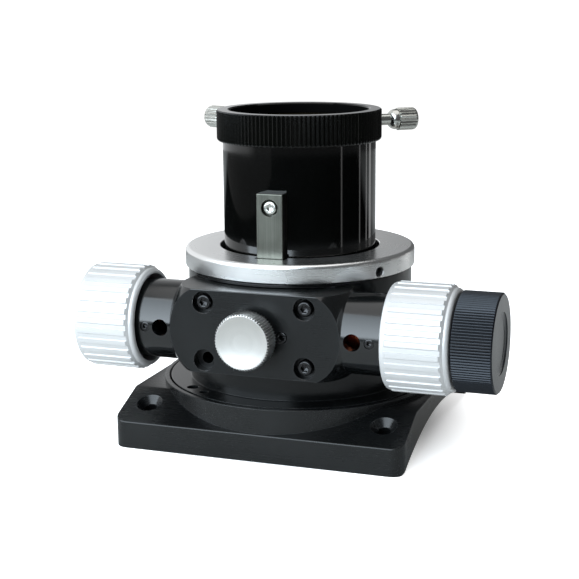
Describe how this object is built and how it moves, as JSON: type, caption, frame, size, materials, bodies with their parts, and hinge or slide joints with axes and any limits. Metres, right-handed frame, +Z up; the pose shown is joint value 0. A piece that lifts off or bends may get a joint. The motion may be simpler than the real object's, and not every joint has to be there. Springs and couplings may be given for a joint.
{
  "type": "telescope focuser",
  "caption": "Dual-speed friction-drive telescope focuser: curved base plate, round body, sliding drawtube with eyepiece clamp, coarse and fine knobs on a cross shaft.",
  "frame": {"origin": "on the optical axis, in the plane of the two lands that are the base plate's lowest faces, at the middle of the curved saddle", "axes": "+Z up the optical axis towards the eyepiece, +X along the drive shaft towards the fine knob, -Y towards the face plate with the lock screw"},
  "size_m": [0.1498, 0.113, 0.118],
  "materials": {
    "base_black": "satin black anodised",
    "body_black": "matte black anodised",
    "gloss_black": "gloss black anodised",
    "satin_silver": "satin silver anodised",
    "brushed_silver": "brushed",
    "black_steel": "black oxide",
    "ground_steel": "ground",
    "rail_steel": "brushed along its length",
    "bronze": "turned",
    "brass": "turned",
    "nylon": "plain"
  },
  "bodies": {
    "body": {"base_plate": "base_black", "push_screw_1": "black_steel", "push_screw_2": "black_steel", "push_screw_3": "black_steel", "pull_screw_1": "black_steel", "pull_screw_2": "black_steel", "pull_screw_3": "black_steel", "focuser_body": "body_black", "top_ring": "satin_silver", "ring_set_screw_1": "black_steel", "ring_set_screw_2": "black_steel", "bearing_axle_1": "ground_steel", "bearing_axle_2": "ground_steel", "bearing_axle_3": "ground_steel", "bearing_axle_4": "ground_steel", "pinion_housing": "body_black", "housing_screw_1": "black_steel", "housing_screw_2": "black_steel", "housing_screw_3": "black_steel", "tension_set_screw": "black_steel", "tube_set_screw_left": "black_steel", "tube_set_screw_right": "black_steel", "shaft_bush": "bronze", "reducer_race": "ground_steel"},
    "bearing_a": {"roller_bearing_1": "ground_steel"},
    "bearing_b": {"roller_bearing_2": "ground_steel"},
    "bearing_c": {"roller_bearing_3": "ground_steel"},
    "bearing_d": {"roller_bearing_4": "ground_steel"},
    "pad": {"lock_pad": "nylon"},
    "lock": {"lock_knob": "brushed_silver"},
    "coarse_drive": {"drive_shaft": "ground_steel", "reducer_ball_1": "ground_steel", "reducer_ball_2": "ground_steel", "reducer_ball_3": "ground_steel", "spacer_sleeve": "bronze", "coarse_knob_left": "satin_silver", "coarse_knob_right": "satin_silver", "coarse_grub_left": "black_steel", "coarse_grub_right": "black_steel"},
    "fine_drive": {"fine_shaft": "ground_steel", "fine_knob": "body_black", "fine_grub": "black_steel"},
    "draw": {"drawtube": "gloss_black", "drive_rail": "rail_steel", "rail_screw_1": "ground_steel", "rail_screw_2": "ground_steel", "clamp_collar": "gloss_black", "clamp_ring": "brass"},
    "clamp_right": {"clamp_screw_right": "satin_silver"},
    "clamp_left": {"clamp_screw_left": "satin_silver"}
  },
  "joints": [
    {"name": "coarse_spin", "type": "hinge", "parent": "body", "child": "coarse_drive", "pos_m": [0, -0.0355, 0.0449], "axis": [1, 0, 0], "range_deg": [-725.7, 0]},
    {"name": "drawtube_slide", "type": "slide", "parent": "body", "child": "draw", "axis": [0, 0, 1], "range_m": [-0.038, 0]},
    {"name": "fine_spin", "type": "hinge", "parent": "body", "child": "fine_drive", "pos_m": [0, -0.0355, 0.0449], "axis": [1, 0, 0], "range_deg": [-7257, 0]},
    {"name": "bearing_a_spin", "type": "hinge", "parent": "body", "child": "bearing_a", "pos_m": [0.02038, 0.02608, 0.031], "axis": [-0.788, 0.6157, 0], "range_deg": [-435.5, 0]},
    {"name": "bearing_b_spin", "type": "hinge", "parent": "body", "child": "bearing_b", "pos_m": [-0.02038, 0.02608, 0.031], "axis": [-0.788, -0.6157, 0], "range_deg": [-435.5, 0]},
    {"name": "bearing_c_spin", "type": "hinge", "parent": "body", "child": "bearing_c", "pos_m": [0.02038, 0.02608, 0.0545], "axis": [-0.788, 0.6157, 0], "range_deg": [-435.5, 0]},
    {"name": "bearing_d_spin", "type": "hinge", "parent": "body", "child": "bearing_d", "pos_m": [-0.02038, 0.02608, 0.0545], "axis": [-0.788, -0.6157, 0], "range_deg": [-435.5, 0]},
    {"name": "lock_feed", "type": "slide", "parent": "body", "child": "pad", "axis": [0, 1, 0], "range_m": [-0.00081, 0.00021]},
    {"name": "lock_spin", "type": "hinge", "parent": "pad", "child": "lock", "pos_m": [0, -0.05, 0.0449], "axis": [0, 1, 0], "range_deg": [-360, 90]},
    {"name": "clamp_right_spin", "type": "hinge", "parent": "draw", "child": "clamp_right", "pos_m": [0.02372, 0.01853, 0.1126], "axis": [0.788, 0.6157, 0], "range_deg": [0, 720]},
    {"name": "clamp_left_spin", "type": "hinge", "parent": "draw", "child": "clamp_left", "pos_m": [-0.02791, 0.01128, 0.1126], "axis": [-0.9272, 0.3746, 0], "range_deg": [0, 720]}
  ],
  "couplings": [
    {"joint": "drawtube_slide", "follows": "coarse_spin", "m_per_rad": 0.003},
    {"joint": "fine_spin", "follows": "coarse_spin", "ratio": 10},
    {"joint": "bearing_a_spin", "follows": "coarse_spin", "ratio": 0.6},
    {"joint": "bearing_b_spin", "follows": "coarse_spin", "ratio": 0.6},
    {"joint": "bearing_c_spin", "follows": "coarse_spin", "ratio": 0.6},
    {"joint": "bearing_d_spin", "follows": "coarse_spin", "ratio": 0.6},
    {"joint": "lock_feed", "follows": "lock_spin", "m_per_rad": 0.00012732}
  ]
}
